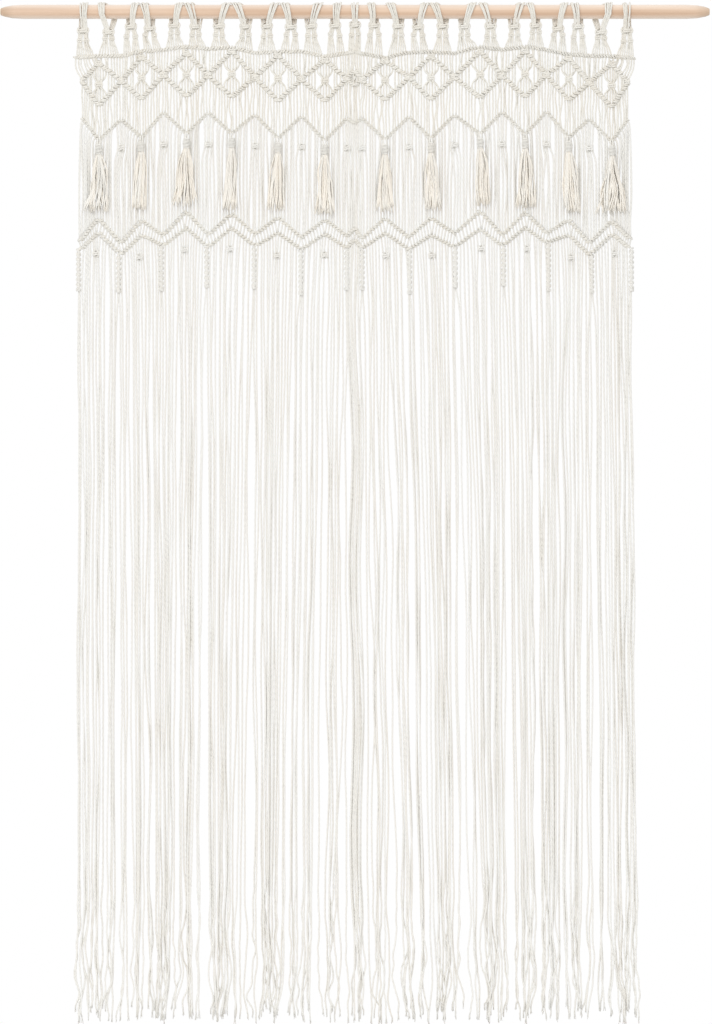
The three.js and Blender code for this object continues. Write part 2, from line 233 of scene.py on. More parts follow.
# The short turn in the middle, where the two halves of the curtain meet.
CENTRE = {"x": -1, "head": 79, "over": 115, "under": 146, "zig": 220, "upper": 425, "lower": 447}

# The tabs: the place of the knot, how far the loop leans at the rod's top, and how far down the wide
# knot and the pair of small knots are tied; open: how far apart its front and back come down;
# apart: how far the small knots stand from the middle.
TAB_COLUMNS = ("x", "lean", "wide", "pair", "open", "apart")
TAB_ROWS = (
    (-534, 2, 37, 57, 0.4, 6.4),
    (-484, -15, 40, 52, 0.95, 6.4),
    (-440, 9, 29, 49, 0.4, 8.6),
    (-403, -12, 33, 46, 0.4, 8.6),
    (-355, 11, 27, 42, 0.4, 6.4),
    (-313, -16, 29, 45, 0.4, 6.4),
    (-267, 16, 28, 47, 0.4, 6.4),
    (-215, -20, 29, 46, 0.4, 6.4),
    (-173, 17, 28, 48, 0.4, 6.4),
    (-126, -14, 30, 46, 0.4, 8.6),
    (-86, 16, 28, 47, 0.4, 6.4),
    (-39, 5, 27, 46, 0.4, 8.6),
    (0, 0, 26, 44, 0.4, 6.4),
    (38, -7, 27, 46, 0.4, 8.6),
    (85, -17, 28, 47, 0.4, 6.4),
    (124, 14, 30, 46, 0.4, 8.6),
    (172, -19, 28, 48, 0.4, 6.4),
    (215, 17, 29, 46, 0.4, 6.4),
    (266, -18, 28, 47, 0.4, 6.4),
    (313, 15, 29, 45, 0.4, 6.4),
    (355, -12, 27, 42, 0.4, 6.4),
    (399, 14, 33, 46, 0.4, 8.6),
    (438, -9, 29, 49, 0.4, 8.6),
    (483, 15, 40, 52, 0.95, 6.4),
    (534, -2, 37, 57, 0.4, 6.4),
)

# The locks that the fringe gathers into, from the left edge to the middle; the right half mirrors
# them. x: the lock's place at the foot; cords: how many hang in it; half: half its width.
FRINGE_MIDDLE = 5
LOCK_COLUMNS = ("x", "cords", "half")
LOCK_ROWS = (
    (-539, 6, 12),
    (-515, 5, 8),
    (-497, 2, 2),
    (-481, 3, 3),
    (-458, 3, 5),
    (-430, 6, 10),
    (-408, 3, 3),
    (-379, 10, 18),
    (-346, 3, 4),
    (-331, 5, 5),
    (-314, 2, 2),
    (-269, 13, 24),
    (-236, 2, 2),
    (-220, 1, 0),
    (-201, 2, 2),
    (-175, 10, 16),
    (-153, 1, 0),
    (-145, 1, 0),
    (-128, 4, 6),
    (-101, 6, 11),
    (-77, 1, 0),
    (-51, 5, 10),
    (-36, 1, 0),
    (-22, 1, 0),
    (-6, 4, 6),
)


def table(columns, rows):
    """The rows with each value under its column's name."""
    return [dict(zip(columns, row)) for row in rows]


BETWEEN = table(BETWEEN_COLUMNS, BETWEEN_ROWS)
MIDDLES = table(MIDDLE_COLUMNS, MIDDLE_ROWS)
TABS = table(TAB_COLUMNS, TAB_ROWS)
LOCKS = table(LOCK_COLUMNS, LOCK_ROWS)
TURNS = sorted(BETWEEN + MIDDLES, key=lambda turn: turn["x"])
TURN_X = np.array([turn["x"] for turn in TURNS], float)
ROW_TURNS = sorted(TURNS + [CENTRE], key=lambda turn: turn["x"])
ROW_X = np.array([turn["x"] for turn in ROW_TURNS], float)


def level(row, x):
    """The height of a row of hitches at x, its turns a little rounded."""
    drops = np.array([turn[row] for turn in ROW_TURNS], float)
    steps = (-TURN_ROUNDING, 0, TURN_ROUNDING)
    near = [np.interp(np.asarray(x, float) + step, ROW_X, drops) for step in steps]
    return -sum(near) / len(near)


def rise_at(row, x):
    """How far a row of hitches climbs in the short span around x."""
    half = SLOPE_SPAN / 2
    return float(level(row, x + half) - level(row, x - half))


def cord_places():
    """Where the cords cross the net, from left to right."""
    share = (np.arange(CORDS_PER_SPAN) + 0.5) / CORDS_PER_SPAN
    return np.concatenate([a + (b - a) * share for a, b in zip(TURN_X[:-1], TURN_X[1:])])


CORD_X = cord_places()
CORD_TONE = CHANCE.normal(0, 0.35, len(CORD_X)).clip(-1, 1)


class Cordage:
    """Gathers lengths of cord, and makes one joined mesh of them."""

    faces = {}

    def __init__(self):
        self.points, self.corners, self.starts, self.wraps, self.tones = [], [], [], [], []
        self.laid = 0
        self.corner_count = 0

    @classmethod
    def skin(cls, rings, sides, closed):
        """The corners of a tube's faces, with each corner's share round it and its ring."""
        key = (rings, sides, closed)
        if key not in cls.faces:
            a = np.repeat(np.arange(rings if closed else rings - 1), sides)
            j = np.tile(np.arange(sides), len(a) // sides)
            b, k = (a + 1) % rings, (j + 1) % sides
            corner = np.stack([a * sides + j, a * sides + k, b * sides + k, b * sides + j], 1)
            around = np.stack([j, j + 1, j + 1, j], 1) / sides
            ring = np.stack([a, a, a + 1, a + 1], 1)
            start = 4 * np.arange(len(a))
            corner, around, ring = corner.ravel(), around.ravel(), ring.ravel()
            if not closed:
                turn = np.arange(sides)
                corner = np.concatenate([corner, turn[::-1], (rings - 1) * sides + turn])
                around = np.concatenate([around, turn[::-1] / sides, turn / sides])
                ring = np.concatenate([ring, np.zeros(sides, int), np.full(sides, rings - 1)])
                start = np.concatenate([start, len(corner) - sides * np.array([2, 1])])
            cls.faces[key] = corner, around, ring, start
        return cls.faces[key]

    def lay(self, path, radius=CORD_RADIUS, sides=CORD_SIDES, closed=False, tone=0.0, across=(1, 0, 0)):
        """Adds a tube along the path. across is a direction that the path never runs in."""
        path = np.asarray(path, float)
        rings = len(path)
        if closed:
            run = np.roll(path, -1, axis=0) - np.roll(path, 1, axis=0)
            steps = np.linalg.norm(np.roll(path, -1, axis=0) - path, axis=1)
        else:
            run = np.gradient(path, axis=0)
            steps = np.linalg.norm(np.diff(path, axis=0), axis=1)
        run /= np.linalg.norm(run, axis=1, keepdims=True)
        side = np.cross(np.asarray(across, float), run)
        side /= np.linalg.norm(side, axis=1, keepdims=True)
        front = np.cross(run, side)
        turn = math.tau * np.arange(sides) / sides
        thick = np.broadcast_to(np.asarray(radius, float), (rings,))[:, None, None]
        out = np.cos(turn)[None, :, None] * side[:, None] + np.sin(turn)[None, :, None] * front[:, None]
        corner, around, ring, start = self.skin(rings, sides, closed)
        twist = np.concatenate([[0], np.cumsum(steps)]) / TWIST_PITCH + self.laid * TWIST_OFFSET % 1
        self.points.append((path[:, None] + thick * out).reshape(-1, 3))
        self.corners.append(corner + self.laid)
        self.starts.append(start + self.corner_count)
        self.wraps.append(np.stack([around, twist[ring]], 1))
        self.tones.append(np.full(rings * sides, tone))
        self.laid += rings * sides
        self.corner_count += len(corner)

    def piece(self, name, finish, slot, *nodes):
        """Makes the mesh, with the twist along each cord and the cord's tone for its finish."""
        points = np.concatenate(self.points) * MM
        corners = np.concatenate(self.corners)
        starts = np.concatenate(self.starts)
        mesh = bpy.data.meshes.new(name)
        mesh.vertices.add(len(points))
        mesh.vertices.foreach_set("co", points.ravel())
        mesh.loops.add(len(corners))
        mesh.loops.foreach_set("vertex_index", corners)
        mesh.polygons.add(len(starts))
        mesh.polygons.foreach_set("loop_start", starts)
        mesh.polygons.foreach_set("use_smooth", np.ones(len(starts), bool))
        mesh.update(calc_edges=True)
        wrap = mesh.uv_layers.new(name="cord_length")
        wrap.data.foreach_set("uv", np.concatenate(self.wraps).ravel())
        tone = mesh.attributes.new("cord_tone", "FLOAT", "POINT")
        tone.data.foreach_set("value", np.concatenate(self.tones))
        mesh.validate()
        mesh.materials.append(finish)
        made = bpy.data.objects.new(name, mesh)
        bpy.context.collection.objects.link(made)
        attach(made, "root")
        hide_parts(*nodes)


def bent(points, steps):
    """A smooth curve through the points, with a number of steps between each two."""
    points = np.asarray(points, float)
    ends = np.concatenate([2 * points[:1] - points[1:2], points, 2 * points[-1:] - points[-2:-1]])
    share = np.linspace(0, 1, steps, endpoint=False)[:, None]
    made = []
    for a, b, c, d in zip(ends[:-3], ends[1:-2], ends[2:-1], ends[3:]):
        pull = 2 * a - 5 * b + 4 * c - d
        swing = -a + 3 * b - 3 * c + d
        made.append(0.5 * (2 * b + (c - a) * share + pull * share**2 + swing * share**3))
    return np.concatenate(made + [points[-1:]])


def strand(cords, points, steps=4, radius=CORD_RADIUS, tone=0.0, sides=CORD_SIDES):
    """A cord that bends smoothly through the points."""
    cords.lay(bent(points, steps), radius, sides, tone=tone)


def hitch(cords, middle, along, lean, reach, radius, tone=0.0):
    """One turn of a cord round a holding cord, leaning along it at the top."""
    turn = math.tau * np.arange(HITCH_POINTS) / HITCH_POINTS
    along = np.array([along[0], 0, along[1]]) / np.hypot(*along)
    up = np.array([-along[2], 0, along[0]])
    front = np.array([0, -1, 0])
    path = np.asarray(middle, float) + reach * np.sin(turn)[:, None] * front
    path = path + np.cos(turn)[:, None] * (reach * up + lean * along)
    cords.lay(path, radius, HITCH_SIDES, closed=True, tone=tone, across=along)


def knot(cords, middle, size, tone):
    """A square knot: two turns drawn tight round the cords inside, and a loop at each side."""
    x, y, z = middle
    half, height, depth, radius = size
    turn = math.tau * np.arange(KNOT_POINTS) / KNOT_POINTS
    for up in (-1, 1):
        rise = up * 0.95 * radius + 0.07 * height * np.cos(turn)
        band = np.stack([x + 0.88 * half * np.cos(turn), y - depth * np.sin(turn), z + rise], 1)
        cords.lay(band, radius, KNOT_SIDES, closed=True, tone=tone, across=(0, 0, 1))
    for side in (-1, 1):
        loop = [(x + side * half * a, y + depth * b, z + height * c) for a, b, c in KNOT_LOOP]
        strand(cords, loop, 4, radius, tone)


def hitch_row(cords, row, reach, thick=1.0):
    """A holding cord across the curtain with two hitches of each cord on it."""
    places = np.arange(TURN_X[0] - reach, TURN_X[-1] + reach + 1, HOLDING_STEP)
    holding = np.stack([places, np.zeros(len(places)), level(row, places)], 1)
    cords.lay(holding, HOLDING_RADIUS * thick, across=(0, 1, 0))
    stretch = 1 + 0.7 * reach / abs(TURN_X[0])
    for x, tone in zip(CORD_X * stretch, CORD_TONE):
        rise = rise_at(row, x)
        middle = np.array([x, CHANCE.normal(0, 0.3), float(level(row, x)) + CHANCE.normal(0, 0.4)])
        steep = math.hypot(SLOPE_SPAN, rise) / SLOPE_SPAN
        along = np.array([SLOPE_SPAN, 0, rise]) / (SLOPE_SPAN * steep)
        across = -np.sign(rise) if abs(rise) > 1 else -np.sign(x)
        lean = across * HITCH_LEAN / steep * thick * (1 + CHANCE.normal(0, 0.15))
        radius = HITCH_RADIUS * thick * steep**0.6
        for side in (-1, 1):
            spot = middle + side * HITCH_PAIR * steep * along
            hitch(cords, spot, (SLOPE_SPAN, rise), lean, HITCH_REACH * thick, radius, tone)


def bead_row(cords, row):
    """The thick sides of the diamonds: pairs of heavy hitches from turn to turn."""
    for start, end in zip(ROW_TURNS[:-1], ROW_TURNS[1:]):
        a = np.array([start["x"], -start[row]], float)
        b = np.array([end["x"], -end[row]], float)
        pairs = max(1, round(np.hypot(*(b - a)) / BEAD_PITCH))
        for pair in range(pairs):
            for half in (-BEAD_PAIR, BEAD_PAIR):
                at = a + (b - a) * (pair + 0.5 + half) / pairs
                lean = -BEAD_LEAN * np.sign(b[1] - a[1]) * (1 + CHANCE.normal(0, 0.15))
                middle = (at[0], BEAD_DEPTH + CHANCE.normal(0, 0.3), at[1] + CHANCE.normal(0, 0.4))
                hitch(cords, middle, b - a, lean, BEAD_REACH, BEAD_RADIUS, CHANCE.normal(0, 0.3))
        core = [(place[0], 0, place[1]) for place in (a, (a + b) / 2, b)]
        cords.lay(core, BEAD_CORE, across=(0, 1, 0))


def work_diamonds(cords):
    """The sides of the diamonds, a knot at each top tip and a bead over each corner."""
    bead_row(cords, "over")
    bead_row(cords, "under")
    for row in MIDDLES:
        knot(cords, (row["x"], TIP_DEPTH, 1 - row["over"]), TIP_KNOT, CHANCE.normal(0, 0.3))
    for row in BETWEEN + [CENTRE]:
        middle = (row["x"], CORNER_DEPTH, -(row["over"] + row["under"]) / 2)
        hitch(cords, middle, (1, 0), CORNER_LEAN, BEAD_REACH, BEAD_RADIUS)


def edge_bow(x):
    """How far the outer cords stand out beyond the net between the header and the diamonds."""
    near = np.clip(1 - (abs(TURN_X[0]) - abs(x)) / EDGE_REACH, 0, 1)
    return np.sign(x) * EDGE_BOW * near


def loop_over_rod(cords, tab, cord, phase, tone):
    """One cord of a tab: up from the knot in front of the rod, over it and down behind it."""
    x, lean, wide = tab["x"], tab["lean"], -tab["wide"]
    turned = TAB_TURN * np.sign(lean)
    beside = (cord - 1.5) * LOOP_STEP + CHANCE.normal(0, 0.5)
    angle = np.linspace(-LOOP_REACH, LOOP_REACH, LOOP_POINTS)
    top_x = x + lean
    front_x = x + (0.8 * tab["open"] + 0.12) * lean
    back_x = x - (0.8 * tab["open"] + 0.1) * lean
    foot_x = np.where(angle < 0, front_x, back_x)
    aside = top_x + (foot_x - top_x) * np.abs(angle / LOOP_REACH) ** LOOP_SWING
    radius = LOOP_RADIUS + 1.5 * (cord % 2) + 0.3 * np.sin(angle * 2 + phase)
    across = aside + beside * (1 + 0.5 * np.cos(angle * 0.7))
    loop = np.stack([across, radius * np.sin(angle), radius * np.cos(angle)], 1)
    front_foot = [
        (x + turned + beside * 0.85, -2.6, wide - 4),
        (x + turned + 0.08 * lean + beside, -6, wide + 7),
    ]
    back_foot = [
        (x - turned - 0.2 * lean + beside, 6, wide + 7),
        (x - turned + beside * 0.85, 2.6, wide - 4),
    ]
    cords.lay(bent(np.concatenate([front_foot, loop, back_foot]), 2), tone=tone)


def fan_to_header(cords, tab, first):
    """The cords of a tab, from its wide knot through the two small ones to the header row."""
    x, apart, wide, pair = tab["x"], tab["apart"], -tab["wide"], -tab["pair"]
    fan = CORD_X[first : first + CORDS_PER_SPAN].mean()
    for cord in range(CORDS_PER_SPAN):
        at = CORD_X[first + cord]
        head = float(level("head", at))
        half_x = x - apart if cord < LOOP_CORDS else x + apart
        within = cord % LOOP_CORDS - 1.5
        foot = fan + (at - fan) * FAN_SHARE + edge_bow(at)
        deep = CHANCE.normal(0, 0.7)
        points = [
            (x + (cord - 3.5) * 2.4, deep, wide - 3),
            (half_x + within * 1.9, deep, pair),
            (half_x + within * 2.6, deep * 1.5, pair - 7),
            ((foot * 2 + half_x + within * 3) / 3, deep, pair * 0.35 + head * 0.65),
            (foot, 0, head),
        ]
        strand(cords, points, 3, TAUT_RADIUS, CORD_TONE[first + cord])


def tie_tabs(cords):
    """The tabs: loops over the rod, a wide knot under them and two small ones below it."""
    for span, tab in enumerate(TABS):
        first = span * CORDS_PER_SPAN
        for cord in range(LOOP_CORDS):
            loop_over_rod(cords, tab, cord, span + cord, CORD_TONE[first + cord])
        knot(cords, (tab["x"], 0, -tab["wide"]), WIDE_KNOT, CHANCE.normal(0, 0.3))
        for side in (-1, 1):
            middle = (tab["x"] + side * tab["apart"], 0, CHANCE.normal(0, 0.8) - tab["pair"])
            knot(cords, middle, PAIR_KNOT, CHANCE.normal(0, 0.3))
        fan_to_header(cords, tab, first)


def drawn_in(x, knot_x, share=0.7, reach=7.5):
    """How far a cord at x is drawn aside, towards a knot at knot_x."""
    away = x - knot_x
    return -share * away * math.exp(-((away / reach) ** 2))


def inside_diamond(index, over, under, sway):
    """A cord's way through its diamond: straight, or drawn in to the knot at the heart."""
    x = CORD_X[index]
    depth = -DIAMOND_DEPTH if index % 2 else DIAMOND_DEPTH
    span = index // CORDS_PER_SPAN
    start, end = TURNS[span], TURNS[span + 1]
    points = [(x, 0, over), (x + sway, depth, (over + under) / 2), (x, 0, under)]
    for middle in (start, end):
        away = x - middle["x"]
        if middle in MIDDLES and abs(away) < 0.4 * abs(end["x"] - start["x"]):
            centre = -(middle["over"] + middle["under"]) / 2
            in_knot = middle["x"] + away * 0.28
            outside = middle["x"] + away * 0.95
            closing = 9 + 0.5 * abs(away)
            points[1:2] = [
                (outside, depth, min(centre + closing, over - 1)),
                (in_knot, depth, centre + 4),
                (in_knot, depth, centre - 4),
                (outside, depth, max(centre - closing, under + 1)),
            ]
    return points


def hang_net(cords):
    """The cords from the header through the diamonds to the zigzag row."""
    for index, x in enumerate(CORD_X):
        tone = CORD_TONE[index]
        head, over, under, zig = (float(level(row, x)) for row in ("head", "over", "under", "zig"))
        sway = CHANCE.normal(0, 1.2, 6)
        bow = edge_bow(x)
        corner = min((row["x"] for row in BETWEEN), key=lambda place: abs(place - x))
        to_diamond = [
            (x + bow, 0, head),
            (x + bow * 0.9 + sway[0], sway[1], (head + over) / 2),
            (x + drawn_in(x, corner, 0.4, 13), 0, over),
        ]
        strand(cords, to_diamond, 4, TAUT_RADIUS, tone)
        if over - under > DIAMOND_LEAST:
            strand(cords, inside_diamond(index, over, under, sway[0] * 0.6), 4, tone=tone)
        to_zigzag = [
            (x, 0, under),
            (x + sway[2], sway[3], (under * 2 + zig) / 3),
            (x + sway[4], sway[5], (under + zig * 2) / 3),
            (x, 0, zig),
        ]
        strand(cords, to_zigzag, 3, TAUT_RADIUS, tone)
    for row in MIDDLES:
        heart = (row["x"], HEART_DEPTH, -(row["over"] + row["under"]) / 2)
        knot(cords, heart, HEART_KNOT, CHANCE.normal(0, 0.3))


def hang_between(cords):
    """The straight cords from the zigzag row to the double row, gathered at the small knots."""
    beads = [row for row in BETWEEN if row["bead"]]
    for row in beads:
        knot(cords, (row["x"], SMALL_DEPTH, -row["bead"]), SMALL_KNOT, CHANCE.normal(0, 0.3))
    for index, x in enumerate(CORD_X):
        zig, upper, lower = (float(level(row, x)) for row in ("zig", "upper", "lower"))
        sway = CHANCE.normal(0, 1.3, 6)
        hang_x = x * WIDER
        row = min(beads, key=lambda bead: abs(bead["x"] - x))
        aside = drawn_in(x, row["x"])
        bead = -row["bead"]
        points = [(x, 0, zig)]
        if abs(aside) > 0.4:
            points.append((x + aside, 0, bead))
            points.append((hang_x + aside * 0.55 + sway[0], sway[1], bead - 28))
        else:
            points.append((hang_x + sway[0], sway[1], zig - 22))
        points.append((hang_x + sway[2], sway[3], zig * 0.4 + upper * 0.6))
        points.append((hang_x + sway[4] * 0.6, sway[5], zig * 0.15 + upper * 0.85))
        points.append((hang_x, 0, upper))
        strand(cords, points, 4, HANG_RADIUS, CORD_TONE[index])
        slope = rise_at("lower", x)
        lean = 2.6 * np.sign(slope) if abs(slope) > 0.5 else 0
        rung = [(hang_x - lean, 0.4, upper), (hang_x + lean, 0.4, lower)]
        strand(cords, rung, 3, tone=CORD_TONE[index])


def spiral_places():
    """The twisted sinnets: their place across, their head and their end."""
    return [(row["x"] * WIDER, -row["lower"], -row["spiral"]) for row in BETWEEN]


def twist_spirals(cords):
    """The twisted sinnets, each with two closing turns at its end."""
    for place, (x, top, end) in enumerate(spiral_places()):
        height = np.linspace(top, end, round((top - end) / SINNET_STEP))
        turn = math.tau * (top - height) / SINNET_PITCH
        tone = CHANCE.normal(0, 0.3)
        core = np.linspace((x, SINNET_DEPTH, top), (x, SINNET_DEPTH, end), 12)
        cords.lay(core, SINNET_CORE, 8, tone=tone)
        for half in (0, math.pi):
            phase = turn + half + place
            across, deep = SINNET_REACH * np.cos(phase), SINNET_REACH * np.sin(phase)
            path = np.stack([x + across, SINNET_DEPTH + deep, height], 1)
            cords.lay(path, SINNET_RADIUS, 5, tone=tone + CHANCE.normal(0, 0.1), across=(0, 0, 1))
        for rise in SINNET_TIES:
            middle = (x, SINNET_DEPTH, end + rise)
            hitch(cords, middle, (0, 1), 0.6, SINNET_TIE_REACH, SINNET_TIE_RADIUS, tone)


def lock_places():
    """The place and depth of each fringe cord at the foot, and the number of its lock."""
    locks = LOCKS + [dict(row, x=-row["x"]) for row in reversed(LOCKS)]
    places, depths, lock_of = [], [], []
    for number, row in enumerate(locks):
        across = np.linspace(-1, 1, row["cords"]) if row["cords"] > 1 else np.zeros(1)
        places.append(FRINGE_MIDDLE + row["x"] + LOCK_TIGHT * row["half"] * across)
        depths.append(LOCK_DEPTH * np.sin(np.arange(row["cords"]) * 2.4 + number))
        lock_of.append(np.full(row["cords"], number))
    return np.concatenate(places), np.concatenate(depths), np.concatenate(lock_of)


def wave(along, length, phase=0.0):
    """An even wave of the given length, at each distance along a cord."""
    return np.sin(along / length * math.tau + phase)


def fray(cords, before, last, shape, tone):
    """The open plies at the end of a cord."""
    root = before + (last - before) * 0.3
    for ply in range(FRAY_PLIES):
        angle = math.tau * ply / FRAY_PLIES + shape.uniform(0, 1.2)
        splay = shape.uniform(0.7, 1.5)
        reach = FRAY_LENGTH * shape.uniform(0.5, 1.0)
        out = np.array([np.cos(angle), 0.6 * np.sin(angle), 0])
        curl = np.array([shape.normal(0, 0.8), shape.normal(0, 0.6), 0])
        tip = last + out * splay + curl + (0, 0, -reach * 0.5)
        points = [root + out * 0.5, last + out * 0.7, tip]
        strand(cords, points, 3, np.linspace(1.2, 0.6, 7), tone, 5)


def gathered(x, top, z, beads, spirals):
    """How far a fringe cord is drawn aside at each height, by the small knots and the sinnets."""
    aside = np.zeros(len(z))
    for bead_x, bead_z in beads:
        if abs(x - bead_x) < NEAR:
            above = (top - z) / max(top - bead_z, 1)
            fall = np.where(z > bead_z, above, np.exp((z - bead_z) / KNOT_EASE))
            aside = aside + drawn_in(x, bead_x) * fall.clip(0, 1)
    for spiral_x, spiral_top, spiral_end in spirals:
        if abs(x - spiral_x) < NEAR:
            beside = 1 - np.exp((z - top) / SINNET_PUSH)
            below = np.exp((z - spiral_end) / SINNET_EASE)
            fall = SINNET_SHARE * np.where(z > spiral_end, beside, below)
            aside = aside + drawn_in(x, spiral_x) * fall
    return aside


def hang_fringe(cords, chosen):
    """The long cords of one half of the curtain, with the small knots that gather them."""
    foot_x, foot_y, lock_of = lock_places()
    spirals = spiral_places()
    spiral_of = {}
    for x, top, end in spirals:
        for index in np.argsort(np.abs(CORD_X - x / WIDER))[:2].tolist():
            spiral_of[index] = (x, end)
    beads = [(row["x"] * WIDER, -row["bead"]) for row in MIDDLES]
    for x, z in beads:
        if chosen(x):
            knot(cords, (x, SMALL_DEPTH, z), SMALL_KNOT, CHANCE.normal(0, 0.3))
    head = np.linspace(0, HEAD_SHARE, HEAD_POINTS, endpoint=False)
    straight = np.linspace(HEAD_SHARE, 1 - WAVY_SHARE, STRAIGHT_POINTS, endpoint=False)
    share = np.concatenate([head, straight, np.linspace(1 - WAVY_SHARE, 1, WAVY_POINTS)])
    foot = np.clip((share - 1 + WAVY_SHARE) / WAVY_SHARE, 0, 1)
    drawn = share**0.65
    for index, place in enumerate(CORD_X):
        if not chosen(place):
            continue
        # The cord has a shape of its own, and a flow that it shares with the other cords of its lock.
        shape = np.random.default_rng(900 + index)
        flow = np.random.default_rng(400 + min(lock_of[index], lock_of[-1] - lock_of[index]))
        x = place * WIDER
        top = float(level("lower", place))
        end = -FRINGE_END + FRINGE_UNEVEN * shape.uniform(-1, 1)
        z = top + (end - top) * share
        along = top - z
        loose = 1 - np.exp(-along / LOOSE_AFTER)
        path_x = x + (foot_x[index] - x) * drawn + shape.normal(0, 1.2) * loose
        for size, length in LONG_WAVES:
            ripple = wave(along, length * shape.uniform(0.8, 1.25), shape.uniform(0, math.tau))
            path_x = path_x + size * shape.normal(0, 0.8) * ripple * loose
        path_x = path_x + flow.normal(0, 1.9) * wave(along, flow.uniform(420, 800)) * loose
        path_x = path_x + PAIR_PULL * (1 if index % 2 == 0 else -1) * loose
        path_x = path_x + gathered(x, top, z, beads, [] if index in spiral_of else spirals)
        waver = flow.normal(0, 2.6) * wave(along, flow.uniform(140, 260), flow.uniform(0, math.tau))
        for size, least, most in FOOT_WAVES:
            ripple = wave(along, shape.uniform(least, most), shape.uniform(0, math.tau))
            waver = waver + size * shape.normal(0, 1) * ripple
        path_x = path_x + waver * foot**1.2 + shape.normal(0, 4.5) * foot**3
        lift = shape.normal(0, 2) * foot * wave(along, LIFT_WAVE, shape.uniform(0, math.tau))
        path = np.stack([path_x, foot_y[index] * drawn + lift, z], 1)
        if index in spiral_of:
            spiral_x, spiral_end = spiral_of[index]
            path = path[z < spiral_end - SINNET_GAP]
            start = np.array([spiral_x + (x - spiral_x) * 0.3, 0, spiral_end + 3])
            ease = np.exp((path[:, 2] - path[0, 2] - SINNET_GAP) / 40)
            path[:, 0] += (start[0] - path[0, 0]) * ease
            path = np.concatenate([[start], path])
        thick = np.append(np.full(len(path) - 2, CORD_RADIUS), [1.7, 1.1])
        cords.lay(path, thick, tone=CORD_TONE[index])
        fray(cords, path[-2], path[-1], shape, CORD_TONE[index])


def bind_head(cords, x, top, shape):
    """A tassel's head: a hanging loop, folded cotton and a cord wound round it."""
    head, neck = top - TASSEL_HEAD, top - TASSEL_NECK
    for side in (-1, 1):
        points = [
            (x + side * 1.4, -5.6, top + 3),
            (x + side * 2.6, -7, top - 4),
            (x + side * 1.0, TASSEL_DEPTH, head - 3),
        ]
        strand(cords, points, 4, 1.3, -0.8)
    for fold in range(HEAD_FOLDS):
        angle = math.tau * fold / HEAD_FOLDS
        points = []
        for out, height in ((1.2, head), (4.0, head - 6), (3.2, neck + 5)):
            points.append((x + out * math.cos(angle), TASSEL_DEPTH + out * math.sin(angle), height))
        strand(cords, points, 3, 1.6, shape.normal(0, 0.3), 5)
    step = np.linspace(0, 1, HEAD_TURNS * HEAD_TURN_POINTS)
    angle = math.tau * HEAD_TURNS * step + math.pi / 2
    girth = 3.2 + 2.9 * np.sin(math.pi * np.clip(step * 1.15 + 0.08, 0, 1)) ** 0.6 + 1.1 * step
    height = head + 0.5 - (head - neck + 3) * step
    wound = np.stack([x + girth * np.cos(angle), TASSEL_DEPTH + girth * np.sin(angle), height], 1)
    cords.lay(wound, 1.3, 5, tone=shape.normal(-0.8, 0.2), across=(0, 0, 1))


def hang_skirt(cords, row, shape):
    """A tassel's skirt: thick strands inside, and locks of thin ones that splay around them."""
    x, drift, neck = row["x"], row["drift"], -row["zig"] - TASSEL_NECK
    spread = row["width"] / 2 + 1
    for piece in range(SKIRT_CORE):
        angle = math.tau * piece / SKIRT_CORE
        across, deep = SKIRT_CORE_SHARE * math.cos(angle), SKIRT_CORE_SHARE * math.sin(angle)
        end = -row["end"] + shape.uniform(-4, 6)
        points = [
            (x + 4 * across, TASSEL_DEPTH + 4 * deep, neck + 3),
            (x + drift * 0.4 + 7 * across, TASSEL_DEPTH + 3.4 * deep, (neck - row["end"]) / 2),
            (x + drift + spread * across, TASSEL_DEPTH + 3 * deep, end),
        ]
        thick = np.append(np.linspace(1.8, 2.3, 12), 1.5)
        strand(cords, points, 6, thick, 0.6 + shape.normal(0, 0.3))
    for lock in range(SKIRT_LOCKS):
        outer = lock % 2 == 0
        angle = math.tau * (lock + shape.uniform(-0.3, 0.3)) / SKIRT_LOCKS
        sway = shape.normal(0, 0.16, 3)
        tone = 0.6 + shape.normal(0, 0.45)
        for piece in range(LOCK_STRANDS if outer else 1):
            turn = angle + (piece - 1) * STRAND_ANGLE
            out = (1.0 if outer else 0.66) + shape.normal(0, 0.04)
            across, deep = out * math.cos(turn), out * math.sin(turn)
            end = -row["end"] + shape.uniform(-7, 7)
            aside = across + sway + shape.normal(0, 0.04, 3)
            points = [
                (x + 4.4 * across, 4.4 * deep, neck + 3),
                (x + drift * 0.3 + (6 + 0.3 * spread) * aside[0], 5.4 * deep, neck * 0.72 + end * 0.28),
                (x + drift * 0.7 + (4.5 + 0.55 * spread) * aside[1], 5.6 * deep, neck * 0.38 + end * 0.62),
                (x + drift + spread * (aside[2] + shape.normal(0, 0.06)), 5.4 * deep, end),
            ]
            thick = np.append(np.linspace(1.1, 1.65, 12), 1.0)
            hung = np.array(points) + (0, TASSEL_DEPTH, 0)
            strand(cords, hung, 4, thick, tone + shape.normal(0, 0.3), 5)


def make_tassel(row, number):
    """A tassel under a low point of the zigzag row."""
    cords = Cordage()
    shape = np.random.default_rng(70 + number)
    bind_head(cords, row["x"], -row["zig"], shape)
    hang_skirt(cords, row, shape)
    name = f"{number:02d}"
    cords.piece(f"cotton_tassel_{name}", tassel_cotton, "tassel_cotton", f"tassel_{name}")


def linked(tree, kind, **inputs):
    """A new node whose named inputs are set to values or joined to other nodes' outputs."""
    made = tree.nodes.new(kind)
    for name, value in inputs.items():
        socket = made.inputs[int(name[1:])] if name[1:].isdigit() else made.inputs[name.replace("_", " ")]
        if isinstance(value, bpy.types.NodeSocket):
            tree.links.new(value, socket)
        else:
            socket.default_value = value
    return made


def reckoned(tree, operation, a, b):
    """The result of a sum in the finish, of values or other nodes' outputs."""
    made = linked(tree, "ShaderNodeMath", i0=a, i1=b)
    made.operation = operation
    return made.outputs[0]


